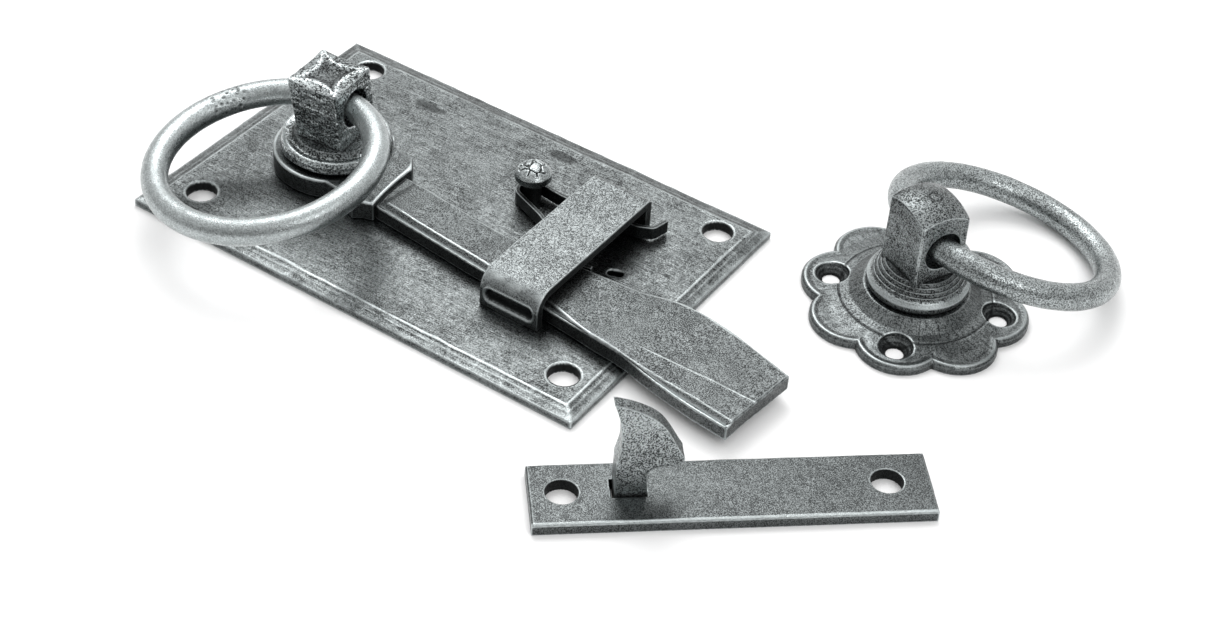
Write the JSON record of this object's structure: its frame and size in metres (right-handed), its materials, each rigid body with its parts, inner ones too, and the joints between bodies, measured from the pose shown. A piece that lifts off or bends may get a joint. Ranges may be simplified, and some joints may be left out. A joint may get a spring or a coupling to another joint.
{
  "type": "ring-turn thumb latch set",
  "caption": "Hammered cottage door latch: backplate with pivoting bar, keep and hairpin spring, ring handles on square bosses, scalloped outside rose, and hooked catch plate.",
  "frame": {"origin": "spindle axis on the back face of the backplate, which is the face that lies on the door", "axes": "+X along the backplate toward the tip of the latch bar, +Y to the spring side, which is up on the door, +Z out of the door"},
  "size_m": [0.2467, 0.1991, 0.0376],
  "materials": {
    "plate_pewter": "hammered and brushed pewter finish, lightly worn to bright metal on edges",
    "forged_pewter": "hammered, grained pewter finish with bright ridges",
    "boss_pewter": "pitted, rippled pewter finish with bright arrises",
    "ring_pewter": "smooth rubbed pewter finish",
    "spring_steel": "dark tempered spring strip",
    "plain_steel": "plain turned steel"
  },
  "bodies": {
    "base": {"backplate": "plate_pewter", "bar_keep": "forged_pewter", "spring_post": "boss_pewter", "hairpin_spring": "spring_steel"},
    "latch": {"bar_hub": "forged_pewter", "latch_bar": "forged_pewter", "inside_boss": "boss_pewter", "inside_washer": "plain_steel"},
    "inside_handle": {"inside_ring": "ring_pewter"},
    "rose": {"rose_plate": "plate_pewter"},
    "outside_turner": {"outside_boss": "boss_pewter", "outside_washer": "plain_steel"},
    "outside_handle": {"outside_ring": "ring_pewter"},
    "catch": {"catch_plate": "plate_pewter", "catch_hook": "forged_pewter"}
  },
  "joints": [
    {"name": "latch_lift", "type": "hinge", "parent": "base", "child": "latch", "pos_m": [0, 0, 0], "axis": [0, 0, 1], "range_deg": [0, 11], "stiffness_Nm_per_rad": 0.9, "springref_deg": -14.32, "deforming": ["hairpin_spring"]},
    {"name": "inside_ring_swing", "type": "hinge", "parent": "latch", "child": "inside_handle", "pos_m": [0, -0.0001, 0.0257], "axis": [-0.9934, -0.0078, -0.1144], "range_deg": [-11, 200]},
    {"name": "rose_slide", "type": "slide", "parent": "base", "child": "rose", "axis": [0, 1, 0], "range_m": [0, 0.05]},
    {"name": "outside_turn", "type": "hinge", "parent": "rose", "child": "outside_turner", "pos_m": [0.1648, 0.0535, 0], "axis": [0, 0, 1], "range_deg": [-45, 45]},
    {"name": "outside_ring_swing", "type": "hinge", "parent": "outside_turner", "child": "outside_handle", "pos_m": [0.1648, 0.0535, 0.0242], "axis": [0.9025, -0.4305, 0.0157], "range_deg": [0, 200]},
    {"name": "catch_slide", "type": "slide", "parent": "base", "child": "catch", "axis": [0, -1, 0], "range_m": [0, 0.05]}
  ]
}
